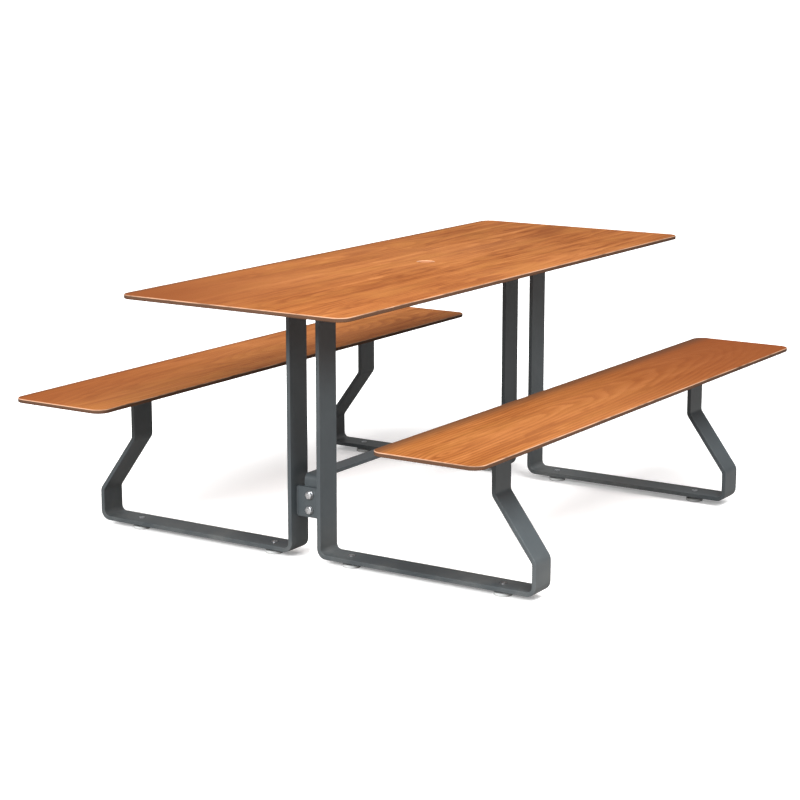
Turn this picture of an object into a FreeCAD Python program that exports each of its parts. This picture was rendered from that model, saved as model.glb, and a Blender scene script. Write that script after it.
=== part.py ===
import FreeCAD, Part
import os
import Sketcher

# Picnic table: a laminate top and two laminate benches on four bent flat-bar legs.
# Millimetres. X runs along the table, Y across it, Z up; the origin is on the floor, in the middle.

doc = FreeCAD.newDocument("PicnicTable")
sheet = doc.addObject("Spreadsheet::Sheet", "Sizes")

SIZES = [
    # boards
    ("table_height", 750, "floor to the top face of the tabletop"),
    ("table_length", 1880, "tabletop along X"),
    ("table_width", 710, "tabletop along Y"),
    ("seat_height", 430, "floor to the top face of a bench"),
    ("seat_length", 1880, "bench along X"),
    ("seat_width", 315, "bench along Y"),
    ("seat_reach", 427, "centre line of the table to the inner edge of a bench"),
    ("board_thick", 12, "laminate board"),
    ("board_corner", 35, "corner radius of a board in plan"),
    ("board_round", 2.5, "rounding of a board's upper and lower edges"),
    ("parasol_dia", 50, "hole in the middle of the tabletop"),
    # bent legs
    ("bar_width", 80, "flat bar, along X"),
    ("bar_thick", 12, "flat bar, thickness"),
    ("bar_round", 1.2, "rounding of the bar's long edges"),
    ("bend_inner", 16, "inside radius of every bend in a leg"),
    ("post_gap", 84, "clear gap between the two posts of an end"),
    ("frame_inset", 325, "end of the tabletop to the outer edge of the legs, along X"),
    ("leg_offset", 7.5, "middle of the seat leg, outwards from the middle of the bench"),
    ("kick_out", 120, "outer upright beyond the seat leg"),
    ("low_bend", 110, "height where the outer upright leans in"),
    ("high_bend", 273, "height where the lean turns upright again"),
    # plates welded on the legs
    ("plate_thick", 8, "support bars and seat plates"),
    ("plate_corner", 8, "corner radius of those plates"),
    ("support_length", 560, "support bar under the tabletop, along Y"),
    ("support_first", 110, "middle of the table to the innermost screw of a support bar"),
    ("support_edge", 22, "end of a support bar to its outermost screw"),
    ("seat_plate_length", 220, "plate under a bench, along Y"),
    ("seat_plate_edge", 15, "edge of a seat plate to its screws"),
    ("cross_thick", 10, "cross plate between the posts"),
    ("cross_height", 84, "cross plate, along Z"),
    ("cross_base", 120, "floor to the lower edge of the cross plate"),
    ("cross_inset", 29, "outer edge of the posts to the cross plate"),
    # stretcher and its bolts
    ("stretcher_width", 50, "stretcher bar, along Y"),
    ("stretcher_thick", 10, "stretcher bar, thickness"),
    ("stretcher_bend", 10, "inside radius of its two bends"),
    ("stretcher_top", 238, "floor to its upper face"),
    ("bolt_dia", 12, "stretcher bolts"),
    ("bolt_clearance", 1, "holes for them, on the diameter"),
    ("bolt_flats", 19, "hexagon across flats, head and nut"),
    ("bolt_head", 7.5, "height of the head"),
    ("bolt_proud", 5, "end of a bolt beyond its nut"),
    ("bolt_pitch", 42, "between the two bolts of an end"),
    ("nut_height", 10, "stretcher nuts"),
    ("washer_dia", 24, "stretcher washers"),
    ("washer_thick", 2.5, "stretcher washers"),
    # board screws
    ("screw_dia", 6, "board screws"),
    ("screw_clearance", 1, "holes in the plates, on the diameter"),
    ("screw_head_dia", 10.5, "board screws"),
    ("screw_head", 3.3, "height of the head"),
    ("screw_short", 1, "end of a screw to the end of its insert"),
    ("screw_key", 4, "hexagon socket across flats"),
    ("insert_dia", 9.5, "threaded insert in a board"),
    ("insert_length", 9, "threaded insert"),
    ("insert_spare", 0.5, "depth left behind an insert"),
    # levelling feet
    ("foot_gap", 2, "foot to the floor bar above it when the foot is screwed right in"),
    ("foot_inner", 75, "post to the inner foot"),
    ("foot_outer", 117, "outside of the leg to the outer foot"),
    ("foot_fit", 0.1, "play of a stud in its threaded sleeve, on the diameter"),
    ("sleeve_wall", 2, "wall of the flanged threaded sleeve set in the floor bar"),
    ("sleeve_rim", 1.75, "its flange beyond the wall, all round"),
    ("sleeve_head", 1.5, "thickness of that flange, on top of the bar"),
    ("stud_dia", 10, "levelling stud"),
    ("stud_sunk", 0.5, "end of the stud below the top of its sleeve"),
    ("stud_flange_dia", 16.6, "flange that the foot turns on"),
    ("stud_flange", 4, "thickness of that flange"),
    ("stud_base", 1, "floor to the underside of that flange"),
    ("stud_key", 5, "hexagon socket in the end of the stud"),
    ("foot_chamfer", 1, "edges of the stud and of the foot"),
    ("pad_dia", 50, "plastic foot"),
    ("pad_height", 16, "plastic foot"),
    ("pad_rim", 9, "height of the foot's rim"),
    ("pad_slope", 2, "slopes on the foot's upper side"),
    ("pad_hub_dia", 26, "raised middle of the foot"),
    ("pad_play", 0.4, "play of the stud's flange in the foot, all round"),
]
for row, (alias, value, note) in enumerate(SIZES, start=1):
    sheet.set("A%d" % row, alias)
    sheet.set("B%d" % row, str(value))
    sheet.set("C%d" % row, note)
    sheet.setAlias("B%d" % row, alias)
doc.recompute()


def expr(text):
    """Turn <alias> into the sheet's full name for it, so that any object can use the expression."""
    return text.replace("<", "Sizes.").replace(">", "")


def value(text):
    return float(sheet.evalExpression(expr(text)))


def bind(obj, **sizes):
    for name, text in sizes.items():
        obj.setExpression(name.replace("__", "."), expr(text))


def place(obj, x="0", y="0", z="0", turn=0, axis=(0, 0, 1)):
    obj.Placement = FreeCAD.Placement(FreeCAD.Vector(0, 0, 0), FreeCAD.Rotation(FreeCAD.Vector(*axis), turn))
    bind(obj, Placement__Base__x=x, Placement__Base__y=y, Placement__Base__z=z)
    return obj


# ---------------------------------------------------------------- places that several pieces share
FRAME_X = "(<table_length> / 2 - <frame_inset> - <bar_width> / 2)"
POST_IN = "(<post_gap> / 2)"
POST_OUT = "(<post_gap> / 2 + <bar_thick>)"
SEAT_Y = "(<seat_reach> + <seat_width> / 2)"
LEG_OUT = "(<seat_reach> + <seat_width> / 2 + <leg_offset> + <bar_thick> / 2)"
FRAME_OUT = "(<seat_reach> + <seat_width> / 2 + <leg_offset> + <bar_thick> / 2 + <kick_out>)"
FLOOR_UNDER = "(<pad_height> + <foot_gap>)"
FLOOR_TOP = "(<pad_height> + <foot_gap> + <bar_thick>)"
SLEEVE_DIA = "(<stud_dia> + <sleeve_wall> * 2)"
TABLE_UNDER = "(<table_height> - <board_thick>)"
SEAT_UNDER = "(<seat_height> - <board_thick>)"
CROSS_X = "(<table_length> / 2 - <frame_inset> - <cross_inset>)"
FLANGE_X = "(<table_length> / 2 - <frame_inset> - <cross_inset> - <cross_thick>)"
BOLT_LOW = "(<cross_base> + <cross_height> / 2 - <bolt_pitch> / 2)"
BOLT_HIGH = "(<cross_base> + <cross_height> / 2 + <bolt_pitch> / 2)"
FOOT_YS = {"inner": POST_OUT + " + <foot_inner>", "outer": FRAME_OUT + " - <foot_outer>"}

ENDS = {"front": -1, "rear": 1}
SIDES = {"left": 1, "right": -1}


def signed(sign, text):
    return text if sign > 0 else "-(%s)" % text


# ---------------------------------------------------------------- sketch and feature helpers
parts = []


def keep(obj, label):
    obj.Label = label
    parts.append(obj)
    return obj


def body(label):
    return keep(doc.addObject("PartDesign::Body", label), label)


def sketch(owner, role):
    plane = [f for f in owner.Origin.OriginFeatures if f.Role == role][0]
    made = owner.newObject("Sketcher::SketchObject", owner.Name + "_sketch")
    made.AttachmentSupport = [(plane, "")]
    made.MapMode = "FlatFace"
    return made


def outline(made, points):
    """A closed outline whose corners are all held by the sheet."""
    corners = [FreeCAD.Vector(value(a), value(b), 0) for a, b in points]
    count = len(corners)
    for i, corner in enumerate(corners):
        made.addGeometry(Part.LineSegment(corner, corners[(i + 1) % count]), False)
    for i in range(count):
        made.addConstraint(Sketcher.Constraint("Coincident", i, 2, (i + 1) % count, 1))
    for i, (across, up) in enumerate(points):
        hold(made, i, 1, corners[i], across, up)


def hold(made, geometry, point, corner, across, up):
    at = made.addConstraint(Sketcher.Constraint("DistanceX", -1, 1, geometry, point, corner.x))
    made.setExpression("Constraints[%d]" % at, expr(across))
    at = made.addConstraint(Sketcher.Constraint("DistanceY", -1, 1, geometry, point, corner.y))
    made.setExpression("Constraints[%d]" % at, expr(up))


def circles(made, diameter, centres):
    for i, (across, up) in enumerate(centres):
        centre = FreeCAD.Vector(value(across), value(up), 0)
        circle = Part.Circle(centre, FreeCAD.Vector(0, 0, 1), value(diameter) / 2)
        made.addGeometry(circle, False)
        at = made.addConstraint(Sketcher.Constraint("Diameter", i, value(diameter)))
        made.setExpression("Constraints[%d]" % at, expr(diameter))
        hold(made, i, 3, centre, across, up)


def rectangle(made, half_x, half_y):
    outline(made, [("-" + half_x, "-" + half_y), (half_x, "-" + half_y),
                   (half_x, half_y), ("-" + half_x, half_y)])


def pad(owner, profile, length, midplane=False):
    made = owner.newObject("PartDesign::Pad", owner.Name + "_pad")
    made.Profile = profile
    made.Midplane = midplane
    bind(made, Length=length)
    doc.recompute()
    return made


def pocket(owner, profile, length, reverse=False, midplane=False):
    """Cut a sketch out of the body, and see that it took something away."""
    before = owner.Shape.Volume
    made = owner.newObject("PartDesign::Pocket", owner.Name + "_pocket")
    made.Profile = profile
    made.Reversed = reverse
    made.Midplane = midplane
    bind(made, Length=length)
    doc.recompute()
    if owner.Shape.Volume >= before:
        raise RuntimeError("%s cuts nothing" % made.Name)
    return made


def fillet(owner, edges, radius):
    if not edges:
        raise RuntimeError("no edges to round on " + owner.Name)
    tip = owner.Tip
    made = owner.newObject("PartDesign::Fillet", owner.Name + "_fillet")
    made.Base = (tip, edges)
    bind(made, Radius=radius)
    doc.recompute()
    return made


def edges_where(shape, test):
    return ["Edge%d" % (i + 1) for i, edge in enumerate(shape.Edges) if test(edge)]


def edges_at(shape, axis, points):
    """Straight edges along one axis that pass through the given points of the plane across it."""
    others = [i for i in range(3) if i != axis]
    spots = [[value(a), value(b)] for a, b in points]

    def test(edge):
        low, high = edge.Vertexes[0].Point, edge.Vertexes[-1].Point
        if any(abs(low[i] - high[i]) > 1e-6 for i in others):
            return False
        return any(all(abs(low[i] - spot[k]) < 1e-4 for k, i in enumerate(others)) for spot in spots)

    return edges_where(shape, test)


def flat_in(edge, axis, level):
    """True for an edge that lies wholly at one level of an axis."""
    box = edge.BoundBox
    low, high = ((box.XMin, box.XMax), (box.YMin, box.YMax), (box.ZMin, box.ZMax))[axis]
    return abs(low - level) < 1e-4 and abs(high - level) < 1e-4


# ---------------------------------------------------------------- boards
def board(label, length, width, insert_centres, middle_hole=None):
    made = body(label)
    plan = sketch(made, "XY_Plane")
    half_x, half_y = "(%s) / 2" % length, "(%s) / 2" % width
    rectangle(plan, half_x, half_y)
    pad(made, plan, "<board_thick>")
    corners = [(sx + half_x, sy + half_y) for sx in ("", "-") for sy in ("", "-")]
    fillet(made, edges_at(made.Shape, 2, corners), "<board_corner>")
    if middle_hole:
        hole = sketch(made, "XY_Plane")
        circles(hole, middle_hole, [("0", "0")])
        pocket(made, hole, "<board_thick>", reverse=True)
    thick = value("<board_thick>")
    rims = edges_where(made.Shape, lambda e: flat_in(e, 2, 0) or flat_in(e, 2, thick))
    fillet(made, rims, "<board_round>")
    blind = sketch(made, "XY_Plane")
    circles(blind, "<insert_dia>", insert_centres)
    pocket(made, blind, "<insert_length> + <insert_spare>", reverse=True)
    return made


SUPPORT_LAST = "(<support_length> / 2 - <support_edge>)"
SUPPORT_YS = ["<support_first>", "((<support_first> + %s) / 2)" % SUPPORT_LAST, SUPPORT_LAST]
SUPPORT_SCREWS = [signed(side, y) for side in SIDES.values() for y in SUPPORT_YS]
SEAT_SCREWS = [(signed(i, "(<bar_width> / 2 - <seat_plate_edge>)"),
                signed(j, "(<seat_plate_length> / 2 - <seat_plate_edge>)"))
               for i in (-1, 1) for j in (-1, 1)]

table_holes = [(signed(end, FRAME_X), y) for end in ENDS.values() for y in SUPPORT_SCREWS]
seat_holes = [("%s + %s" % (signed(end, FRAME_X), x), y) for end in ENDS.values() for x, y in SEAT_SCREWS]

tabletop = board("tabletop", "<table_length>", "<table_width>", table_holes, "<parasol_dia>")
place(tabletop, z=TABLE_UNDER)
for side, sign in SIDES.items():
    seat = board("seat_" + side, "<seat_length>", "<seat_width>", seat_holes)
    place(seat, y=signed(sign, SEAT_Y), z=SEAT_UNDER)


# ---------------------------------------------------------------- bent flat-bar legs
# Seen from the end, for the left side: post, floor bar, outer upright, lean, seat leg.
LEAN = "(<bar_thick> * tan(atan(<kick_out> / (<high_bend> - <low_bend>)) / 2))"
POST_TOP = TABLE_UNDER + " - <plate_thick>"
LEG_TOP = SEAT_UNDER + " - <plate_thick>"
LEG_OUTLINE = {
    "post_top_in": (POST_IN, POST_TOP),
    "heel_out": (POST_IN, FLOOR_UNDER),
    "toe_out": (FRAME_OUT, FLOOR_UNDER),
    "low_out": (FRAME_OUT, "<low_bend>"),
    "high_out": (LEG_OUT, "<high_bend>"),
    "leg_top_out": (LEG_OUT, LEG_TOP),
    "leg_top_in": (LEG_OUT + " - <bar_thick>", LEG_TOP),
    "high_in": (LEG_OUT + " - <bar_thick>", "<high_bend> - " + LEAN),
    "low_in": (FRAME_OUT + " - <bar_thick>", "<low_bend> - " + LEAN),
    "toe_in": (FRAME_OUT + " - <bar_thick>", FLOOR_TOP),
    "heel_in": (POST_OUT, FLOOR_TOP),
    "post_top_out": (POST_OUT, POST_TOP),
}
OUTSIDE_BENDS = ["heel_out", "toe_out", "low_out", "high_in"]
INSIDE_BENDS = ["heel_in", "toe_in", "low_in", "high_out"]


def leg_frame(label):
    made = body(label)
    profile = sketch(made, "YZ_Plane")
    outline(profile, list(LEG_OUTLINE.values()))
    pad(made, profile, "<bar_width>", midplane=True)
    inside = [LEG_OUTLINE[name] for name in INSIDE_BENDS]
    fillet(made, edges_at(made.Shape, 0, inside), "<bend_inner>")
    outside = [LEG_OUTLINE[name] for name in OUTSIDE_BENDS]
    fillet(made, edges_at(made.Shape, 0, outside), "<bend_inner> + <bar_thick>")
    half = value("<bar_width>") / 2
    tops = [value(POST_TOP), value(LEG_TOP)]
    long_edges = edges_where(made.Shape, lambda e: (flat_in(e, 0, half) or flat_in(e, 0, -half))
                             and not any(flat_in(e, 2, top) for top in tops))
    fillet(made, long_edges, "<bar_round>")
    holes = sketch(made, "XY_Plane")
    circles(holes, SLEEVE_DIA, [("0", y) for y in FOOT_YS.values()])
    pocket(made, holes, FLOOR_TOP + " + <bar_thick> / 2", reverse=True)
    return made


# The right-hand legs are the left-hand ones turned half round about Z.
for end, toward in ENDS.items():
    for side, sign in SIDES.items():
        frame = leg_frame("leg_frame_%s_%s" % (end, side))
        place(frame, x=signed(toward, FRAME_X), turn=0 if sign > 0 else 180)


# ---------------------------------------------------------------- flat plates on top of the legs
def flat_plate(label, length, holes):
    made = body(label)
    plan = sketch(made, "XY_Plane")
    half_x, half_y = "<bar_width> / 2", "(%s) / 2" % length
    rectangle(plan, half_x, half_y)
    pad(made, plan, "<plate_thick>")
    corners = [(sx + half_x, sy + half_y) for sx in ("", "-") for sy in ("", "-")]
    fillet(made, edges_at(made.Shape, 2, corners), "<plate_corner>")
    drill = sketch(made, "XY_Plane")
    circles(drill, "<screw_dia> + <screw_clearance>", holes)
    pocket(made, drill, "<plate_thick>", reverse=True)
    return made


for end, toward in ENDS.items():
    bar = flat_plate("support_bar_" + end, "<support_length>", [("0", y) for y in SUPPORT_SCREWS])
    place(bar, x=signed(toward, FRAME_X), z=POST_TOP)
    for side, sign in SIDES.items():
        plate = flat_plate("seat_plate_%s_%s" % (end, side), "<seat_plate_length>", SEAT_SCREWS)
        place(plate, x=signed(toward, FRAME_X), y=signed(sign, SEAT_Y), z=LEG_TOP)


# ---------------------------------------------------------------- cross plates and stretcher
BOLT_CENTRES = [("0", BOLT_LOW), ("0", BOLT_HIGH)]

for end, toward in ENDS.items():
    plate = body("cross_plate_" + end)
    face = sketch(plate, "YZ_Plane")
    top = "<cross_base> + <cross_height>"
    outline(face, [("-" + POST_IN, "<cross_base>"), (POST_IN, "<cross_base>"),
                   (POST_IN, top), ("-" + POST_IN, top)])
    pad(plate, face, "<cross_thick>", midplane=True)
    drill = sketch(plate, "YZ_Plane")
    circles(drill, "<bolt_dia> + <bolt_clearance>", BOLT_CENTRES)
    pocket(plate, drill, "<cross_thick> * 2", midplane=True)
    place(plate, x=signed(toward, CROSS_X + " - <cross_thick> / 2"))

stretcher = body("stretcher")
staple = sketch(stretcher, "XZ_Plane")
WEB_UNDER = "<stretcher_top> - <stretcher_thick>"
FLANGE_IN = "(%s - <stretcher_thick>)" % FLANGE_X
staple_corners = [("-" + FLANGE_X, "<cross_base>"), ("-" + FLANGE_X, "<stretcher_top>"),
                  (FLANGE_X, "<stretcher_top>"), (FLANGE_X, "<cross_base>"),
                  (FLANGE_IN, "<cross_base>"), (FLANGE_IN, WEB_UNDER),
                  ("-" + FLANGE_IN, WEB_UNDER), ("-" + FLANGE_IN, "<cross_base>")]
outline(staple, staple_corners)
pad(stretcher, staple, "<stretcher_width>", midplane=True)
fillet(stretcher, edges_at(stretcher.Shape, 1, [staple_corners[i] for i in (5, 6)]), "<stretcher_bend>")
fillet(stretcher, edges_at(stretcher.Shape, 1, [staple_corners[i] for i in (1, 2)]),
       "<stretcher_bend> + <stretcher_thick>")
half_width = value("<stretcher_width>") / 2
foot_level = value("<cross_base>")
side_edges = edges_where(stretcher.Shape, lambda e: (flat_in(e, 1, half_width) or flat_in(e, 1, -half_width))
                         and not flat_in(e, 2, foot_level))
fillet(stretcher, side_edges, "<bar_round>")
drill = sketch(stretcher, "YZ_Plane")
circles(drill, "<bolt_dia> + <bolt_clearance>", BOLT_CENTRES)
pocket(stretcher, drill, FLANGE_X + " * 2 + <stretcher_thick>", midplane=True)
place(stretcher)


# ---------------------------------------------------------------- fasteners
def cylinder(name, diameter, height, z="0"):
    made = doc.addObject("Part::Cylinder", name)
    bind(made, Radius="(%s) / 2" % diameter, Height=height)
    return place(made, z=z)


def hexagon(name, flats, height, z="0"):
    made = doc.addObject("Part::Prism", name)
    made.Polygon = 6
    bind(made, Circumradius="(%s) / 2 / cos(30 deg)" % flats, Height=height)
    return place(made, z=z)


def joined(name, *shapes):
    made = doc.addObject("Part::MultiFuse", name)
    made.Shapes = list(shapes)
    return made


def less(name, base, tool):
    made = doc.addObject("Part::Cut", name)
    made.Base = base
    made.Tool = tool
    return made


def group(label, master, places):
    """One node that holds a copy of the master at each place, as separate solids."""
    made = doc.addObject("Part::Compound", label)
    links = []
    for i, spot in enumerate(places):
        link = doc.addObject("App::Link", "%s_%02d" % (label, i + 1))
        link.LinkedObject = master
        links.append(place(link, **spot))
    made.Links = links
    return keep(made, label)


head = cylinder("screw_head", "<screw_head_dia>", "<screw_head>", z="-<screw_head>")
shank = cylinder("screw_shank", "<screw_dia>", "<plate_thick> + <insert_length> - <screw_short>")
key = hexagon("screw_socket", "<screw_key>", "<screw_head> * 0.6", z="-<screw_head>")
board_screw = less("board_screw", joined("screw_blank", head, shank), key)
board_insert = less("board_insert", cylinder("insert_outside", "<insert_dia>", "<insert_length>"),
                    cylinder("insert_bore", "<screw_dia> + <foot_fit>", "<insert_length>"))

for name, under, centres in (
        ("tabletop", TABLE_UNDER, [(x, y) for x, y in table_holes]),
        ("seat", SEAT_UNDER, [(x, "%s + %s" % (signed(sign, SEAT_Y), y))
                              for sign in SIDES.values() for x, y in seat_holes])):
    group(name + "_screws", board_screw, [dict(x=x, y=y, z=under + " - <plate_thick>") for x, y in centres])
    group(name + "_inserts", board_insert, [dict(x=x, y=y, z=under) for x, y in centres])

# A bolt's own axis is Z, with its head below. It goes through two washers, two bars and a nut.
BOLT_LENGTH = "<washer_thick> * 2 + <cross_thick> + <stretcher_thick> + <nut_height> + <bolt_proud>"
hex_bolt = joined("hex_bolt", hexagon("bolt_head_blank", "<bolt_flats>", "<bolt_head>", z="-<bolt_head>"),
                  cylinder("bolt_shank", "<bolt_dia>", BOLT_LENGTH))
hex_nut = less("hex_nut", hexagon("nut_blank", "<bolt_flats>", "<nut_height>"),
               cylinder("nut_bore", "<bolt_dia> + <foot_fit>", "<nut_height>"))
flat_washer = less("flat_washer", cylinder("washer_blank", "<washer_dia>", "<washer_thick>"),
                   cylinder("washer_bore", "<bolt_dia> + <bolt_clearance>", "<washer_thick>"))

WASHER_IN = FLANGE_IN + " - <washer_thick>"
bolts, nuts, washers = [], [], []
for toward in ENDS.values():
    # Turning Z by 90 degrees about Y gives +X, and by -90 degrees gives -X, so all point to the middle.
    inward = dict(turn=-90 * toward, axis=(0, 1, 0))
    for level in (BOLT_LOW, BOLT_HIGH):
        bolts.append(dict(x=signed(toward, CROSS_X + " + <washer_thick>"), z=level, **inward))
        washers.append(dict(x=signed(toward, CROSS_X + " + <washer_thick>"), z=level, **inward))
        washers.append(dict(x=signed(toward, FLANGE_IN), z=level, **inward))
        nuts.append(dict(x=signed(toward, WASHER_IN), z=level, **inward))
group("stretcher_bolts", hex_bolt, bolts)
group("stretcher_washers", flat_washer, washers)
group("stretcher_nuts", hex_nut, nuts)


# ---------------------------------------------------------------- levelling feet
STUD_TOP = FLOOR_TOP + " + <sleeve_head> - <stud_sunk>"
STUD_R = "(<stud_dia> / 2)"
FLANGE_R = "(<stud_flange_dia> / 2)"
PAD_R = "(<pad_dia> / 2)"
FLANGE_TOP = "<stud_base> + <stud_flange>"
sleeve = less("sleeve",
              joined("sleeve_blank", cylinder("sleeve_body", SLEEVE_DIA, "<bar_thick>"),
                     cylinder("sleeve_flange", SLEEVE_DIA + " + <sleeve_rim> * 2",
                              "<sleeve_head>", z="<bar_thick>")),
              cylinder("sleeve_bore", "<stud_dia> + <foot_fit>", "<bar_thick> + <sleeve_head>"))


def turned(label, points):
    """A body turned about Z from its half section in the XZ plane."""
    made = body(label)
    section = sketch(made, "XZ_Plane")
    outline(section, points)
    spin = made.newObject("PartDesign::Revolution", label + "_turned")
    spin.Profile = section
    spin.ReferenceAxis = (section, ["V_Axis"])
    spin.Angle = 360
    doc.recompute()
    return made


def foot_pad(label):
    hollow_top = FLANGE_TOP + " + <pad_play>"
    hollow_r = FLANGE_R + " + <pad_play>"
    bore_r = STUD_R + " + <pad_play>"
    return turned(label, [
        (hollow_r, "0"), (PAD_R + " - <foot_chamfer>", "0"), (PAD_R, "<foot_chamfer>"),
        (PAD_R, "<pad_rim> - <pad_slope>"), (PAD_R + " - <pad_slope>", "<pad_rim>"),
        ("<pad_hub_dia> / 2 + <pad_slope>", "<pad_rim>"), ("<pad_hub_dia> / 2", "<pad_height>"),
        (bore_r, "<pad_height>"), (bore_r, hollow_top), (hollow_r, hollow_top)])


def foot_stud(label):
    made = turned(label, [
        ("0", "<stud_base>"), (FLANGE_R, "<stud_base>"), (FLANGE_R, FLANGE_TOP), (STUD_R, FLANGE_TOP),
        (STUD_R, STUD_TOP + " - <foot_chamfer>"), (STUD_R + " - <foot_chamfer>", STUD_TOP), ("0", STUD_TOP)])
    socket = sketch(made, "XY_Plane")
    corner_r = "(<stud_key> / 2 / cos(30 deg))"
    outline(socket, [("%s * cos(%d deg)" % (corner_r, 60 * i), "%s * sin(%d deg)" % (corner_r, 60 * i))
                     for i in range(6)])
    bind(socket, AttachmentOffset__Base__z=STUD_TOP + " - <stud_key>")
    pocket(made, socket, "<stud_key>", reverse=True)
    return made


sleeve_places = []
for end, toward in ENDS.items():
    for side, sign in SIDES.items():
        for which, across in FOOT_YS.items():
            spot = dict(x=signed(toward, FRAME_X), y=signed(sign, across))
            place(foot_pad("foot_pad_%s_%s_%s" % (end, side, which)), **spot)
            place(foot_stud("foot_stud_%s_%s_%s" % (end, side, which)), **spot)
            sleeve_places.append(dict(z=FLOOR_UNDER, **spot))
group("foot_sleeves", sleeve, sleeve_places)


# ---------------------------------------------------------------- check and write
doc.recompute()
for obj in doc.Objects:
    if any(word in obj.State for word in ("Invalid", "Error")):
        raise RuntimeError("%s failed: %s" % (obj.Name, obj.State))
for obj in parts:
    if obj.Shape.isNull() or not obj.Shape.isValid():
        raise RuntimeError("%s has no valid shape" % obj.Label)

os.makedirs("parts", exist_ok=True)
for obj in parts:
    obj.Shape.exportStep("parts/%s.step" % obj.Label)
print("%d parts written" % len(parts))
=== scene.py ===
import math
import random

import bmesh
import bpy
from mathutils import Matrix, Vector


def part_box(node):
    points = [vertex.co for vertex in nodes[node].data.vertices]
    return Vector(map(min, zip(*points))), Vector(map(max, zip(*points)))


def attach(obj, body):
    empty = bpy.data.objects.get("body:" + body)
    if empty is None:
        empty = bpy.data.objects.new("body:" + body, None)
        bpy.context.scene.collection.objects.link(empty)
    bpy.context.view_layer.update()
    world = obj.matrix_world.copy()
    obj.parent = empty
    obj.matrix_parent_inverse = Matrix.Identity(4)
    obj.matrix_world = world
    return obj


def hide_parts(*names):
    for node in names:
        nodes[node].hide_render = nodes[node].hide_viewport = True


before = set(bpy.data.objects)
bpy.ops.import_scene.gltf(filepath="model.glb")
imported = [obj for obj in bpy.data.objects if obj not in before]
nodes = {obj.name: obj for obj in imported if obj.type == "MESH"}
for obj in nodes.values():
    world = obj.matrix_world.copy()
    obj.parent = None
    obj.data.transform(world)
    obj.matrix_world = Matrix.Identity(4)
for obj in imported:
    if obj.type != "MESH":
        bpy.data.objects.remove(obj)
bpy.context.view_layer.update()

mm = 0.001
print("picnic table: CAD frame loaded,", len(nodes), "nodes")


# shader helpers: a Link is a socket that takes part in Python arithmetic

class Link:
    def __init__(self, finish, socket):
        self.finish = finish
        self.socket = socket

    def math(self, operation, *others):
        return self.finish.math(operation, self, *others)

    def __add__(self, other):
        return self.math("ADD", other)

    def __sub__(self, other):
        return self.math("SUBTRACT", other)

    def __mul__(self, other):
        return self.math("MULTIPLY", other)

    def __truediv__(self, other):
        return self.math("DIVIDE", other)

    def __radd__(self, other):
        return self.finish.math("ADD", other, self)

    def __rsub__(self, other):
        return self.finish.math("SUBTRACT", other, self)

    def __rmul__(self, other):
        return self.finish.math("MULTIPLY", other, self)

    def __rtruediv__(self, other):
        return self.finish.math("DIVIDE", other, self)

    def clamped(self):
        return self.finish.node("ShaderNodeClamp", {}, {0: self})

    def between(self, low, high):  # 0 below low, 1 above high, smooth in between
        smooth = {"interpolation_type": "SMOOTHSTEP"}
        return self.finish.node("ShaderNodeMapRange", smooth, {0: self, 1: low, 2: high})


class Finish:  # the nodes of one material, or of the world
    def __init__(self, owner, coordinates="Object", **surface):
        owner.use_nodes = True
        self.owner = owner
        self.tree = owner.node_tree
        self.place = self.node("ShaderNodeTexCoord", output=coordinates)
        self.wear(**surface)

    def node(self, kind, settings=None, sockets=None, output=0):
        made = self.tree.nodes.new(kind)
        for key, value in (settings or {}).items():
            if key == "stops":
                self.fillRamp(made.color_ramp, value)
            else:
                setattr(made, key, value)
        for key, value in (sockets or {}).items():
            self.feed(made.inputs[key], value)
        return Link(self, made.outputs[output])

    def fillRamp(self, ramp, stops):
        while len(ramp.elements) < len(stops):
            ramp.elements.new(0.5)
        for element, (position, colour) in zip(ramp.elements, stops):
            element.position = position
            element.color = (*colour, 1)

    def feed(self, socket, value):
        if isinstance(value, Link):
            self.tree.links.new(value.socket, socket)
        else:
            socket.default_value = value

    def math(self, operation, *values):
        return self.node("ShaderNodeMath", {"operation": operation}, dict(enumerate(values)))

    def stretched(self, scale, move=(0, 0, 0)):
        sockets = {"Vector": self.place, "Scale": scale, "Location": move}
        return self.node("ShaderNodeMapping", {}, sockets)

    def noise(self, place, scale, detail, roughness, distortion=0.0):
        sockets = {"Vector": place, "Scale": scale, "Detail": detail,
                   "Roughness": roughness, "Distortion": distortion}
        return self.node("ShaderNodeTexNoise", {}, sockets)

    def axes(self):
        split = self.node("ShaderNodeSeparateXYZ", {}, {0: self.place})
        return [Link(self, out) for out in split.socket.node.outputs]

    def ramp(self, factor, stops):
        return self.node("ShaderNodeValToRGB", {"stops": stops}, {0: factor})

    def mixed(self, factor, low, high):
        low, high = [(*c, 1) if isinstance(c, tuple) else c for c in (low, high)]
        sockets = {0: factor, 6: low, 7: high}
        return self.node("ShaderNodeMix", {"data_type": "RGBA"}, sockets, output=2)

    def bump(self, height, distance, strength):
        sockets = {"Height": height, "Distance": distance, "Strength": strength}
        return self.node("ShaderNodeBump", {}, sockets)

    def wear(self, **values):
        shader = self.tree.nodes.get("Principled BSDF") or self.tree.nodes["Background"]
        for socket, value in values.items():
            self.feed(shader.inputs[socket.replace("_", " ")], value)
        return self.owner


# laminate boards: cherry-brown wood decor on a dark brown core

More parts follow.
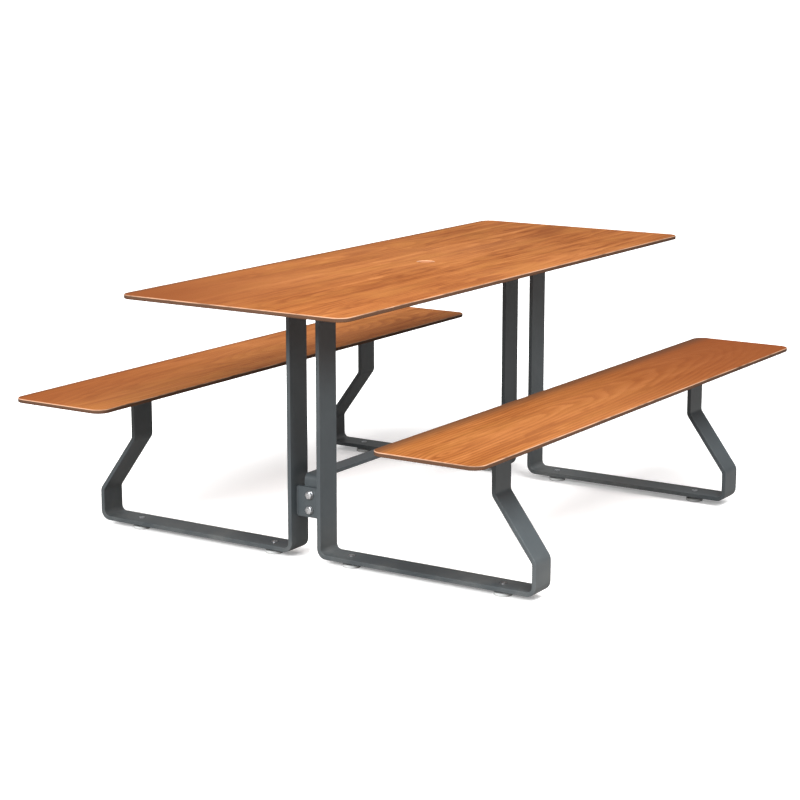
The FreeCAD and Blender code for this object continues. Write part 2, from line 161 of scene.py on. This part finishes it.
laminate = {
    "dark": (0.230, 0.062, 0.013),
    "middle": (0.365, 0.120, 0.029),
    "light": (0.500, 0.188, 0.058),
    "blushTone": (0.540, 0.215, 0.075),
    "goldTone": (0.395, 0.155, 0.036),
    "poreTone": (0.130, 0.036, 0.010),
    # painted shade: colour of the dark band along one edge of each board
    "edgeShadeColour": (0.075, 0.034, 0.018),
    "core": (0.060, 0.030, 0.018),
    "coreLight": (0.105, 0.058, 0.037),
    # painted highlight: colour of the pale band along the rounded top arris
    "arrisHighlight": (0.450, 0.265, 0.175),
    # painted light: the parasol hole's wall is far paler than the core elsewhere, standing in for
    # light falling on it
    "paintedLitBoreWall": (0.300, 0.125, 0.058),
    "boreReach": (27 * mm, 29 * mm),   # the wall of the parasol hole, fading out into the core
    "decorDepth": 0.3 * mm,            # how far down the rounded edge the decor goes
    "decorFade": 0.2 * mm,
    "arrisDepth": 2.0 * mm,            # painted highlight: pale band just under the decor, where the rounded arris catches the light
    "arrisFade": 0.9 * mm,
    "ringWidth": 13 * mm,
    "roughness": 0.46,
    "coreRoughness": 0.52,
    "relief": 0.07 * mm,
    # noise: stretch along, across and through the board, then scale, detail, roughness, distortion
    "wander": ((1.1, 3.0, 1.0), 1.0, 2.0, 0.50),
    "ripple": ((5.0, 22.0, 1.0), 1.0, 3.0, 0.55),
    "broad": ((1.3, 10.0, 1.0), 1.0, 3.0, 0.55),
    "band": ((3.4, 38.0, 1.0), 1.0, 3.0, 0.60),
    "streak": ((7.0, 120.0, 1.0), 1.0, 4.0, 0.62),
    "fibre": ((16.0, 900.0, 1.0), 1.0, 3.0, 0.60),
    "pores": ((48.0, 1500.0, 1.0), 1.0, 2.0, 0.50),
    "smudge": ((5.5, 40.0, 1.0), 1.0, 2.0, 0.55, 0.6),
    "blush": ((0.8, 2.2, 1.0), 1.6, 2.0, 0.50),
    "gold": ((2.6, 9.0, 1.0), 1.3, 3.0, 0.55),
    "highlightPatches": ((9.0, 9.0, 1.0), 1.0, 4.0, 0.60),
    "rubbed": ((2.0, 3.5, 1.0), 1.0, 5.0, 0.60),
    "layers": (3.0, 3.0, 2600.0),
    # how strongly each part of the figure shows, and how far it moves the rings
    "show": {"broad": 0.50, "band": 0.40, "streak": 0.36, "fibre": 0.10},
    "figureLevel": -0.33,
    "wanderWide": 60 * mm,
    "rippleWide": 10 * mm,
    "rippleRings": 0.9,
    "wanderLong": 1.6,
}


def makeLaminate(name, top, thick, centre, flitch, heart, lean, eye, arches, shift, lines, shade,
                 tone=1.0, bore=False):
    look = dict(laminate)
    # tone: lightens or darkens each board's decor as a whole, set to how brightly that board looks
    # lit: painted light and shade
    for part in ("dark", "middle", "light", "blushTone", "goldTone", "poreTone"):
        look[part] = tuple(tone * channel for channel in laminate[part])
    wood = Finish(bpy.data.materials.new(name), IOR=1.45, Specular_IOR_Level=0.03)
    x, y, z = wood.axes()

    def grain(layer):
        stretch, *values = look[layer]
        return wood.noise(wood.stretched(stretch, shift), *values)

    # slow wandering of the grain along the board
    wander = grain("wander") - 0.5
    ripple = grain("ripple") - 0.5
    across = (y - centre) + wander * look["wanderWide"] + ripple * look["rippleWide"]

    # each flitch is sliced near the heart, so its rings come out as long pointed arches
    folded = across.math("PINGPONG", flitch) - heart
    depth = (x - eye + wander * look["wanderLong"]) * lean
    radius = (folded * folded + depth * depth).math("SQRT")
    saw = (radius / look["ringWidth"] + ripple * look["rippleRings"]).math("FRACT")
    early = saw.between(0.0, 0.72) * (1 - saw.between(0.86, 1.0))

    # fibre streaks at four widths, much longer than they are wide
    streaks = {layer: grain(layer) for layer in look["show"]}
    pore = grain("pores").between(0.62, 0.72)

    # short smudges, darker and paler than the rest
    smudge = grain("smudge")
    smudged = smudge.between(0.56, 0.72) * 0.16 - (1 - smudge.between(0.30, 0.44)) * 0.22

    # long straight lines that the sheet shows at fixed places across it
    figure = early * arches + look["figureLevel"] + smudged
    for layer, link in streaks.items():
        figure = figure + link * look["show"][layer]
    for place, width, strength in lines:
        offset = (across - place).math("ABSOLUTE")
        figure = figure + (1 - offset.between(0.0, width)) * strength

    stops = [(0.27, look["dark"]), (0.5, look["middle"]), (0.75, look["light"])]
    decor = wood.ramp(figure.clamped(), stops)
    decor = wood.mixed(grain("blush").between(0.3, 0.75) * 0.35, decor, look["blushTone"])
    decor = wood.mixed(grain("gold").between(0.45, 0.68) * 0.38, decor, look["goldTone"])
    decor = wood.mixed(pore * 0.4, decor, look["poreTone"])

    # painted shade: the board is browner towards one end, and darkest along one edge, where less
    # light reaches it
    endShade = x.between(*shade["along"]) * y.between(*shade["side"]) * shade["alongDepth"]
    fromEdge = (y - shade["edge"]).math("ABSOLUTE")
    edgeShade = (1 - fromEdge.between(0.0, shade["edgeWidth"])) * shade["edgeDepth"]
    decor = wood.mixed(endShade, decor, shade["tint"])
    decor = wood.mixed(edgeShade, decor, look["edgeShadeColour"])

    # the core is pressed paper: dark brown, in faint layers; the pale band under the decor is a
    # painted highlight
    layers = wood.noise(wood.stretched(look["layers"]), 1.0, 2.0, 0.5)
    core = wood.mixed(layers.between(0.35, 0.7), look["core"], look["coreLight"])
    # painted light: the wall of the parasol hole is painted paler than the rest of the core
    if bore:
        inner, outer = look["boreReach"]
        hole = 1 - (x * x + y * y).between(inner ** 2, outer ** 2)
        core = wood.mixed(hole, core, look["paintedLitBoreWall"])
    # painted highlight: a pale band, broken into patches, along the top of every edge and of the
    # parasol hole's wall
    arrisHighlight = z.between(top - look["arrisDepth"] - look["arrisFade"], top - look["arrisDepth"])
    core = wood.mixed(arrisHighlight * grain("highlightPatches").between(0.25, 0.6) * 0.85, core, look["arrisHighlight"])

    # the decor covers the upper face and the underside
    upper = z.between(top - look["decorDepth"] - look["decorFade"], top - look["decorDepth"])
    under = top - thick + look["decorDepth"]
    lower = 1 - z.between(under, under + look["decorFade"])
    face = upper.math("MAXIMUM", lower)

    # rubbed patches where hands and plates go, and fine dust
    dust = wood.noise(wood.place, 420.0, 2.0, 0.6)
    rough = look["roughness"] + (grain("rubbed") - 0.5) * 0.16 + pore * 0.12 + (dust - 0.5) * 0.05
    rough = rough * face + (1 - face) * look["coreRoughness"]
    relief = streaks["streak"] * 0.35 + streaks["fibre"] * 0.5 - pore * 0.9
    relief = relief * face + layers * (1 - face)
    return wood.wear(Base_Color=wood.mixed(face, core, decor), Roughness=rough,
                     Normal=wood.bump(relief, look["relief"], 0.55))


# flitch: width of one slice of the decor, and its heart's place in it
# lean: how fast its arches close, on both sides of eye
# lines: place across the board, width and strength of each straight line
# shade: painted shade, browner towards one end (along, side, alongDepth, tint) and darkest along
# one edge (edge, edgeWidth, edgeDepth)
boardLooks = {
    "tabletop": {
        "flitch": 0.178, "heart": 0.089, "lean": 0.075, "eye": -0.45, "arches": 0.13,
        "shift": (0.3, 0.7, 0.0), "tone": 0.72,
        "lines": [(0.475, 0.018, 0.16), (0.445, 0.006, -0.13), (0.388, 0.010, -0.20),
                  (0.300, 0.016, 0.10), (0.205, 0.014, -0.12), (0.150, 0.008, -0.10),
                  (0.060, 0.020, 0.10)],
        "shade": {"along": (-0.20, -1.00), "side": (-0.20, 0.25), "alongDepth": 1.0,
                  "edge": 0.355, "edgeWidth": 0.030, "edgeDepth": 0.60,
                  "tint": (0.170, 0.048, 0.012)},
        "bore": True,
    },
    "seat_right": {
        "flitch": 0.400, "heart": 0.150, "lean": 0.120, "eye": -0.60, "arches": 0.24,
        "shift": (4.1, 2.6, 0.0), "tone": 0.58,
        "lines": [(0.215, 0.012, -0.12), (0.105, 0.010, 0.12), (0.075, 0.014, -0.14)],
        "shade": {"along": (-0.6, 1.1), "side": (-9.0, -8.0), "alongDepth": 0.90,
                  "edge": -0.427, "edgeWidth": 0.066, "edgeDepth": 0.88,
                  "tint": (0.170, 0.042, 0.009)},
    },
    "seat_left": {
        "flitch": 0.400, "heart": 0.150, "lean": 0.110, "eye": 0.30, "arches": 0.16,
        "shift": (8.4, 5.2, 0.0), "tone": 0.78,
        "lines": [(0.190, 0.012, -0.12), (0.230, 0.010, 0.10), (0.085, 0.014, -0.14)],
        "shade": {"along": (0.6, -0.95), "side": (0.42, 0.70), "alongDepth": 0.72,
                  "edge": 0.742, "edgeWidth": 0.030, "edgeDepth": 0.50,
                  "tint": (0.170, 0.042, 0.009)},
    },
}
for board, look in boardLooks.items():
    low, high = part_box(board)
    decorated = makeLaminate(board + "Laminate", high.z, high.z - low.z, low.y, **look)
    nodes[board].material_slots[0].material = decorated


# powder-coated steel: anthracite, with the fine orange-peel skin of the coating

coating = {
    "base": (0.050, 0.059, 0.064),
    "pale": (0.080, 0.090, 0.096),
    "deep": (0.037, 0.044, 0.048),
    "dust": (0.20, 0.19, 0.17),
    "dustHeight": (20 * mm, 160 * mm),    # splashed dust thins out between these heights
    "scuffs": (14.0, 90.0, 14.0),
    "roughness": 0.42,
    "peelDepth": 0.08 * mm,
}


def makeCoating(name, peel=1.0):
    coat = Finish(bpy.data.materials.new(name), IOR=1.5, Specular_IOR_Level=0.4)
    grainy = coat.noise(coat.place, 1500.0, 2.0, 0.6)
    peelSkin = coat.noise(coat.place, 420.0, 2.0, 0.5)
    cloud = coat.noise(coat.place, 5.0, 4.0, 0.6)
    scuff = coat.noise(coat.stretched(coating["scuffs"]), 1.0, 4.0, 0.7)
    tint = coat.mixed(cloud.between(0.32, 0.72), coating["deep"], coating["base"])
    tint = coat.mixed(grainy.between(0.55, 0.8) * 0.5, tint, coating["pale"])
    tint = coat.mixed(scuff.between(0.66, 0.8) * 0.35, tint, coating["pale"])
    x, y, z = coat.axes()
    dusty = (1 - z.between(*coating["dustHeight"])) * cloud.between(0.4, 0.7) * 0.22
    tint = coat.mixed(dusty, tint, coating["dust"])
    rough = coating["roughness"] + (cloud - 0.5) * 0.14 + (grainy - 0.5) * 0.12 + dusty * 0.8
    skin = peelSkin * (0.75 * peel) + grainy * 0.25
    return coat.wear(Base_Color=tint, Roughness=rough,
                     Normal=coat.bump(skin, coating["peelDepth"], 0.5))


# zinc-plated fasteners and moulded feet

zinc = {
    "light": (0.72, 0.73, 0.745),
    "dark": (0.45, 0.46, 0.48),
    "brushing": (1400.0, 1400.0, 90.0),
    "roughness": 0.30,
    "scratchDepth": 0.02 * mm,
}
footPlastic = {
    "light": (0.62, 0.63, 0.63),
    "dark": (0.42, 0.43, 0.43),
    "grime": (0.22, 0.20, 0.17),
    "grimeHeight": 6 * mm,
    "roughness": 0.44,
    "grainDepth": 0.03 * mm,
}


def makeZinc(name, tone):
    plate = Finish(bpy.data.materials.new(name), Metallic=1.0)
    spangle = plate.noise(plate.place, 260.0, 3.0, 0.6)
    brushed = plate.noise(plate.stretched(zinc["brushing"]), 1.0, 2.0, 0.5)
    dark, light = [tuple(tone * channel for channel in zinc[part]) for part in ("dark", "light")]
    tint = plate.mixed(spangle.between(0.3, 0.7), dark, light)
    rough = zinc["roughness"] + (spangle - 0.5) * 0.25 + (brushed - 0.5) * 0.1
    return plate.wear(Base_Color=tint, Roughness=rough,
                      Normal=plate.bump(brushed, zinc["scratchDepth"], 0.4))


def makeFootPlastic(name):
    nylon = Finish(bpy.data.materials.new(name), IOR=1.5)
    cloud = nylon.noise(nylon.place, 60.0, 4.0, 0.6)
    speck = nylon.noise(nylon.place, 900.0, 2.0, 0.5)
    x, y, z = nylon.axes()
    grime = (1 - z.between(0.0, footPlastic["grimeHeight"])) * cloud.between(0.35, 0.7)
    tint = nylon.mixed(cloud, footPlastic["dark"], footPlastic["light"])
    tint = nylon.mixed(grime * 0.6, tint, footPlastic["grime"])
    rough = footPlastic["roughness"] + (speck - 0.5) * 0.2 + grime * 0.2
    return nylon.wear(Base_Color=tint, Roughness=rough,
                      Normal=nylon.bump(speck, footPlastic["grainDepth"], 0.4))


coatedNodes = ("leg_frame", "support_bar", "seat_plate", "cross_plate")
replacedNodes = ("foot_pad", "foot_stud", "stretcher_")    # made anew further down
powderCoat = makeCoating("anthracitePowderCoat")
weldCoat = makeCoating("coatedWeld", 2.0)
brightZinc = makeZinc("brightZinc", 1.0)
dullZinc = makeZinc("dullZinc", 0.45)
paleFoot = makeFootPlastic("paleFootPlastic")
for name, node in nodes.items():
    if name == "stretcher" or name.startswith(coatedNodes):
        node.material_slots[0].material = powderCoat
    elif name not in boardLooks and not name.startswith(replacedNodes):
        node.material_slots[0].material = brightZinc
print("finishes made")


# turned and threaded pieces: shared ways of making them

def addPiece(name, shape, material, body, slot, *replaced):
    bmesh.ops.remove_doubles(shape, verts=shape.verts, dist=0.002 * mm)
    bmesh.ops.recalc_face_normals(shape, faces=shape.faces)
    mesh = bpy.data.meshes.new(name)
    shape.to_mesh(mesh)
    shape.free()
    mesh.shade_smooth()
    mesh.set_sharp_from_angle(angle=math.radians(32))
    mesh.materials.append(material)
    piece = bpy.data.objects.new(name, mesh)
    bpy.context.scene.collection.objects.link(piece)
    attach(piece, body)
    if replaced:
        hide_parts(*replaced)


def copied(shape, places):
    mesh = bpy.data.meshes.new("copied")
    shape.to_mesh(mesh)
    shape.free()
    whole = bmesh.new()
    for place in places:
        mesh.transform(place)
        whole.from_mesh(mesh)
        mesh.transform(place.inverted())
    bpy.data.meshes.remove(mesh)
    return whole


def spun(shape, outline, steps):
    verts = [shape.verts.new((reach, 0, height)) for reach, height in outline]
    edges = [shape.edges.new(pair) for pair in zip(verts, verts[1:] + verts[:1])]
    bmesh.ops.spin(shape, geom=verts + edges, cent=(0, 0, 0), axis=(0, 0, 1), dvec=(0, 0, 0),
                   angle=math.tau, steps=steps, use_merge=True, use_duplicate=False)


def softened(shape, offset, sharpest=25):
    edges = [edge for edge in shape.edges if edge.calc_face_angle(0) > math.radians(sharpest)]
    bmesh.ops.bevel(shape, geom=edges, offset=offset, offset_type="OFFSET", segments=2,
                    profile=0.5, affect="EDGES", material=-1, clamp_overlap=True)


# one tooth of a thread, in pitches: depth below the crest, and height
toothForm = [(0.58, 0.0), (0.0, 0.42), (0.0, 0.55), (0.58, 0.94), (0.58, 1.0)]
threadLead = 1.1    # the thread starts this many pitches below its end, and is then cut flush


def thread(shape, radius, pitch, low, high, steps):
    start = low - threadLead * pitch
    turns = math.ceil((high - low) / pitch) + 2
    verts = [shape.verts.new((radius - sunk * pitch, 0, start + share * pitch))
             for sunk, share in toothForm]
    edges = [shape.edges.new(pair) for pair in zip(verts, verts[1:])]
    bmesh.ops.spin(shape, geom=verts + edges, cent=(0, 0, 0), axis=(0, 0, 1),
                   dvec=(0, 0, pitch / steps), angle=math.tau * turns, steps=steps * turns,
                   use_merge=False, use_duplicate=False)
    bmesh.ops.remove_doubles(shape, verts=shape.verts, dist=0.01 * mm)
    for height, side in ((low, -1), (high, 1)):
        geom = shape.verts[:] + shape.edges[:] + shape.faces[:]
        bmesh.ops.bisect_plane(shape, geom=geom, plane_co=(0, 0, height), plane_no=(0, 0, side),
                               clear_outer=True)


def openEdges(shape, height):
    return [edge for edge in shape.edges
            if edge.is_boundary and all(abs(vert.co.z - height) < 0.01 * mm for vert in edge.verts)]


def tapered(shape, radius, high, length):
    # the first turns of a thread are cut down to a chamfer
    for vert in shape.verts:
        reach = vert.co.xy.length
        most = radius - max(0.0, vert.co.z - (high - length))
        if reach > most:
            vert.co.xy *= most / reach


hexagon = {
    "steps": 48,
    "circle": 0.475,    # radius where the chamfer starts, as a share of the flats
    "slope": 30,        # of the chamfer, in degrees
    "rim": 0.02,
}


def hexagonReach(angle, flats):
    sixth = math.pi / 3
    return flats / 2 / math.cos((angle + sixth / 2) % sixth - sixth / 2)


def hexBlank(shape, flats, low, high, chamfered):
    # a round blank is pulled in to six flats, and its ends are chamfered
    middle = (low + high) / 2
    steps, circle = hexagon["steps"], flats * hexagon["circle"]
    slope = math.tan(math.radians(hexagon["slope"]))
    made = bmesh.ops.create_cone(shape, cap_ends=True, segments=steps, radius1=flats, radius2=flats,
                                 depth=high - low, matrix=Matrix.Translation((0, 0, middle)))
    for vert in made["verts"]:
        angle = math.atan2(vert.co.y, vert.co.x)
        reach = hexagonReach(angle, flats)
        vert.co.xy = Vector((math.cos(angle), math.sin(angle))) * reach
        end = 1 if vert.co.z > middle else -1
        if end in chamfered:
            vert.co.z -= end * (reach - circle) * slope
    faces = dict.fromkeys(face for vert in made["verts"] for face in vert.link_faces)
    caps = [face for face in faces if len(face.verts) == steps]
    bmesh.ops.inset_individual(shape, faces=caps, thickness=flats * hexagon["rim"])
    for cap in caps:
        end = 1 if cap.calc_center_median().z > middle else -1
        for vert in cap.verts:
            vert.co.xy *= circle / vert.co.xy.length
            vert.co.z = high if end > 0 else low
    return caps


# M12 bolts, nuts and washers that hold the stretcher to the cross plates

coupling = {
    "heights": (141 * mm, 183 * mm),
    "seat": 588.5 * mm,                        # underside of a head, from the middle of the table
    "flats": 19 * mm,
    "headHigh": 7.5 * mm,                      # heights are from the underside of the head
    "shankEnd": -40 * mm,
    "plain": -27 * mm,                         # where the thread begins
    "thread": (6 * mm, 1.75 * mm),             # radius, pitch
    "nut": (-35 * mm, -25 * mm),
    "nutRim": 1.2 * mm,
    "nutBore": 5.9 * mm,
    "washer": (12 * mm, 6.6 * mm, 2.5 * mm),   # outer radius, bore radius, thickness
    "washerAt": (-2.5 * mm, -25 * mm),
    "washerRound": 0.35 * mm,
    "turned": 0.5,                             # heads stand at random turns up to this, radians
}


def couplingPlaces():
    places = []
    turns = random.Random(12)
    for end in (-1, 1):
        lying = Matrix.Rotation(math.radians(90 * end), 4, "Y")
        for height in coupling["heights"]:
            spot = Matrix.Translation((end * coupling["seat"], 0, height))
            turn = turns.uniform(-coupling["turned"], coupling["turned"])
            places.append(spot @ lying @ Matrix.Rotation(turn, 4, "Z"))
    return places


def makeCouplingBolts():
    bolt = bmesh.new()
    radius, pitch = coupling["thread"]
    plain = coupling["plain"]
    thread(bolt, radius, pitch, coupling["shankEnd"], plain, 18)
    for height in (coupling["shankEnd"], plain):
        bmesh.ops.holes_fill(bolt, edges=openEdges(bolt, height), sides=0)
    bmesh.ops.create_cone(bolt, cap_ends=True, segments=40, radius1=radius, radius2=radius,
                          depth=-plain, matrix=Matrix.Translation((0, 0, plain / 2)))
    hexBlank(bolt, coupling["flats"], 0, coupling["headHigh"], (1,))
    places = couplingPlaces()
    addPiece("coupling_bolts", copied(bolt, places), brightZinc, "table", "zinc", "stretcher_bolts")

    nut = bmesh.new()
    caps = hexBlank(nut, coupling["flats"], *coupling["nut"], (-1, 1))
    bmesh.ops.inset_individual(nut, faces=caps, thickness=coupling["nutRim"])
    for cap in caps:
        for vert in cap.verts:
            vert.co.xy *= coupling["nutBore"] / vert.co.xy.length
    loops = [edge for cap in caps for edge in cap.edges]
    bmesh.ops.delete(nut, geom=caps, context="FACES_ONLY")
    bmesh.ops.bridge_loops(nut, edges=loops)
    addPiece("coupling_nuts", copied(nut, places), brightZinc, "table", "zinc", "stretcher_nuts")

    washer = bmesh.new()
    outer, inner, thick = coupling["washer"]
    spun(washer, [(inner, 0), (outer, 0), (outer, thick), (inner, thick)], 40)
    softened(washer, coupling["washerRound"])
    stacked = [place @ Matrix.Translation((0, 0, rise))
               for place in places for rise in coupling["washerAt"]]
    washers = copied(washer, stacked)
    addPiece("coupling_washers", washers, dullZinc, "table", "zinc", "stretcher_washers")


makeCouplingBolts()
print("stretcher bolts, nuts and washers made")


# levelling feet: a threaded stud turns in a moulded pad and lifts the table as it turns

foot = {
    "flange": (8.3 * mm, 1 * mm, 5 * mm),    # radius, bottom, top
    "thread": (5 * mm, 1.5 * mm),            # radius, pitch
    "rooted": 0.5 * mm,                      # how far the thread starts inside the flange
    "top": 31 * mm,
    "tip": 1.0 * mm,                         # length of the chamfer on the first turns
    "key": 5 * mm,                           # hexagon socket, across flats and deep
    "keyRim": 0.5 * mm,
    "outline": [(8.7, 0), (24, 0), (25, 1), (25, 7), (23, 9), (15, 9), (13, 16),
                (5.4, 16), (5.4, 5.4), (8.7, 5.4)],    # of the pad: reach and height in mm
    "rounding": 0.45 * mm,
}


def makeStud(name, spot, body, replaced):
    stud = bmesh.new()
    radius, pitch = foot["thread"]
    flange, low, seat = foot["flange"]
    top = foot["top"]
    root = seat - foot["rooted"]
    thread(stud, radius, pitch, root, top, 18)
    tapered(stud, radius, top, foot["tip"])
    bmesh.ops.holes_fill(stud, edges=openEdges(stud, root), sides=0)

    # the socket: the top is filled, inset, drawn in to a hexagon and pushed down
    cap = bmesh.ops.holes_fill(stud, edges=openEdges(stud, top), sides=0)["faces"]
    bmesh.ops.inset_individual(stud, faces=cap, thickness=foot["keyRim"])
    for vert in cap[0].verts:
        angle = math.atan2(vert.co.y, vert.co.x)
        vert.co.xy *= hexagonReach(angle + math.pi / 6, foot["key"]) / vert.co.xy.length
    sunk = bmesh.ops.extrude_discrete_faces(stud, faces=cap)["faces"]
    bmesh.ops.translate(stud, verts=sunk[0].verts, vec=(0, 0, -foot["key"]))

    bmesh.ops.create_cone(stud, cap_ends=True, segments=36, radius1=flange, radius2=flange,
                          depth=seat - low, matrix=Matrix.Translation((0, 0, (seat + low) / 2)))
    bmesh.ops.translate(stud, verts=stud.verts, vec=spot)
    addPiece(name, stud, brightZinc, body, "zinc", replaced)


def makePad(name, spot, body, replaced):
    pad = bmesh.new()
    spun(pad, [(reach * mm, height * mm) for reach, height in foot["outline"]], 60)
    softened(pad, foot["rounding"])
    bmesh.ops.translate(pad, verts=pad.verts, vec=spot)
    addPiece(name, pad, paleFoot, body, "foot_plastic", replaced)


for node in [name for name in nodes if name.startswith("foot_pad_")]:
    key = node.removeprefix("foot_pad_")
    low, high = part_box(node)
    spot = Vector(((low.x + high.x) / 2, (low.y + high.y) / 2, 0))
    makePad("foot_moulding_" + key, spot, "pad_" + key, node)
    makeStud("foot_thread_" + key, spot, "stud_" + key, "foot_stud_" + key)
print("levelling feet made")


# weld beads, coated with the frames

weld = {
    "radius": 2.6 * mm,
    "ripple": 1.5 * mm,                           # length of one ripple along the bead
    "depth": 0.14,                                # how much a ripple changes the radius
    "unevenness": 0.05,                           # and how much the hand's pace does
    "pace": 190,                                  # how fast that changes along the bead
    "drift": (2.0, 3.0),                          # how irregular the ripples are, least and most
    "end": (0.45, 0.6),                           # radius at the very end, and its rise inwards
    "plateFaces": (576 * mm, 586 * mm),
    "plateSpan": (122 * mm, 202 * mm),
    "post": (42 * mm, 54 * mm, 730 * mm),         # inner face, outer face, top
    "seatLeg": (586 * mm, 598 * mm, 410 * mm),
    "across": (538 * mm, 612 * mm),
}


def addBead(shape, start, end, chance):
    length = (end - start).length
    bead = bmesh.new()
    bmesh.ops.create_cone(bead, cap_ends=True, segments=10, radius1=weld["radius"],
                          radius2=weld["radius"], depth=length)
    sides = [edge for edge in bead.edges if edge.calc_length() > length / 2]
    bmesh.ops.subdivide_edges(bead, edges=sides, cuts=int(length / weld["ripple"] * 4))
    phase, drift = chance.uniform(0, math.tau), chance.uniform(*weld["drift"])
    endSize, endRise = weld["end"]
    for vert in bead.verts:
        along = vert.co.z + length / 2
        wave = along / weld["ripple"]
        scallop = abs(math.sin(math.pi * wave + 0.5 * math.cos(drift * wave)))
        uneven = weld["unevenness"] * math.sin(phase + along * weld["pace"])
        toEnd = min(along, length - along) / weld["radius"]
        full = min(1.0, toEnd * endRise + endSize)
        vert.co.xy *= full * (1 + weld["depth"] * (scallop - 0.5) + uneven)
    turn = (end - start).to_track_quat("Z", "Y").to_matrix().to_4x4()
    mesh = bpy.data.meshes.new("bead")
    bead.to_mesh(mesh)
    bead.free()
    mesh.transform(Matrix.Translation((start + end) / 2) @ turn)
    shape.from_mesh(mesh)
    bpy.data.meshes.remove(mesh)


def makeWelds():
    beads = bmesh.new()
    chance = random.Random(7)
    for end in (-1, 1):
        for side in (-1, 1):
            for face in weld["plateFaces"]:
                start, stop = [Vector((end * face, side * weld["post"][0], height))
                               for height in weld["plateSpan"]]
                addBead(beads, start, stop, chance)
            for *reaches, height in (weld["post"], weld["seatLeg"]):
                for reach in reaches:
                    start, stop = [Vector((end * along, side * reach, height))
                                   for along in weld["across"]]
                    addBead(beads, start, stop, chance)
    addPiece("weld_beads", beads, weldCoat, "table", "steel_coated")


makeWelds()
print("weld beads made")


# studio: pale floor, soft light, and the camera

studio = {
    "floorSize": 160.0,
    "floorTone": 0.92,
    "fleckTone": 0.90,
    "floorGlow": 0.26,
    "floorBounce": (0.36, 0.35, 0.34),
    "skyLow": 0.10,            # light from around the horizon
    "skyHigh": 1.05,           # light from overhead
    "skyRise": (0.15, 0.75),   # the first gives way to the second between these heights
    "keyTurn": (34, 0, -22),   # degrees: high, from the right and a little in front
    "keyPower": 2.8,
    "keySpread": 40,
    "frontPanel": {"at": (-8.4, -0.5, 4.4), "target": (0, -0.1, 0.4), "size": (4.4, 2.4),
                   "power": 1290},
    "nearPanel": {"at": (-0.75, -1.6, 1.65), "target": (-0.6, -0.66, 0.2), "size": (0.6, 0.6),
                  "power": 28},
    "cameraAt": (-5.1378, -3.2307, 1.6179),
    "cameraTurn": -57.14,
    "cameraDip": 11.87,
    "lens": 95.55,
    "sensor": 36,
    "farthest": 400,
}


def placed(name, data, at=(0, 0, 0), target=None):
    holder = bpy.data.objects.new(name, data)
    bpy.context.scene.collection.objects.link(holder)
    holder.location = at
    if target:
        ahead = Vector(target) - Vector(at)
        holder.rotation_euler = ahead.to_track_quat("-Z", "Y").to_euler()
    return holder


def addPanel(name):
    panel = studio[name]
    lamp = bpy.data.lights.new(name, "AREA")
    lamp.shape = "RECTANGLE"
    lamp.size, lamp.size_y = panel["size"]
    lamp.energy = panel["power"]
    placed(name, lamp, panel["at"], panel["target"])


def makeFloorPaper():
    # the paper shows nearly white but gives little light back to the underside of the table
    paper = Finish(bpy.data.materials.new("floorPaper"), Roughness=0.75, Specular_IOR_Level=0.1,
                   Emission_Color=(1, 1, 1, 1), Emission_Strength=studio["floorGlow"])
    fleck = paper.noise(paper.place, 30.0, 3.0, 0.6)
    plain, flecked = [(tone, tone, tone) for tone in (studio["floorTone"], studio["fleckTone"])]
    material = paper.wear(Base_Color=paper.mixed(fleck, plain, flecked))
    bounce = paper.node("ShaderNodeBsdfDiffuse", {}, {"Color": (*studio["floorBounce"], 1)})
    seen = paper.node("ShaderNodeLightPath")
    shown = Link(paper, paper.tree.nodes["Principled BSDF"].outputs[0])
    blend = paper.node("ShaderNodeMixShader", {}, {0: seen, 1: bounce, 2: shown})
    paper.feed(paper.tree.nodes["Material Output"].inputs["Surface"], blend)
    return material


def makeWorld():
    # the camera sees plain white, and the table is lit by a sky that is brightest overhead
    sky = Finish(bpy.data.worlds.new("studioWorld"), "Generated", Color=(1, 1, 1, 1))
    low, high = studio["skyRise"]
    rise = {0: sky.axes()[2], 1: low, 2: high, 3: studio["skyLow"], 4: studio["skyHigh"]}
    light = sky.node("ShaderNodeMapRange", {}, rise)
    seen = sky.node("ShaderNodeLightPath")
    shown = sky.node("ShaderNodeMix", {}, {0: seen, 2: light, 3: 1.0})
    bpy.context.scene.world = sky.wear(Strength=shown)


def makeStudio():
    ground = bmesh.new()
    bmesh.ops.create_grid(ground, x_segments=1, y_segments=1, size=studio["floorSize"] / 2)
    mesh = bpy.data.meshes.new("studioFloor")
    ground.to_mesh(mesh)
    ground.free()
    mesh.materials.append(makeFloorPaper())
    floor = placed("studioFloor", mesh)

    makeWorld()
    bpy.context.scene.view_settings.view_transform = "Standard"

    sun = bpy.data.lights.new("keySun", "SUN")
    sun.energy = studio["keyPower"]
    sun.angle = math.radians(studio["keySpread"])
    holder = placed("keySun", sun)
    holder.rotation_euler = [math.radians(part) for part in studio["keyTurn"]]
    addPanel("frontPanel")
    addPanel("nearPanel")

    view = bpy.data.cameras.new("studioCamera")
    view.lens = studio["lens"]
    view.sensor_width = studio["sensor"]
    view.clip_end = studio["farthest"]
    camera = placed("studioCamera", view, studio["cameraAt"])
    turn, dip = math.radians(studio["cameraTurn"]), math.radians(studio["cameraDip"])
    camera.rotation_euler = (math.radians(90) - dip, 0, turn)
    bpy.context.scene.camera = camera
    print("studio ready")


makeStudio()
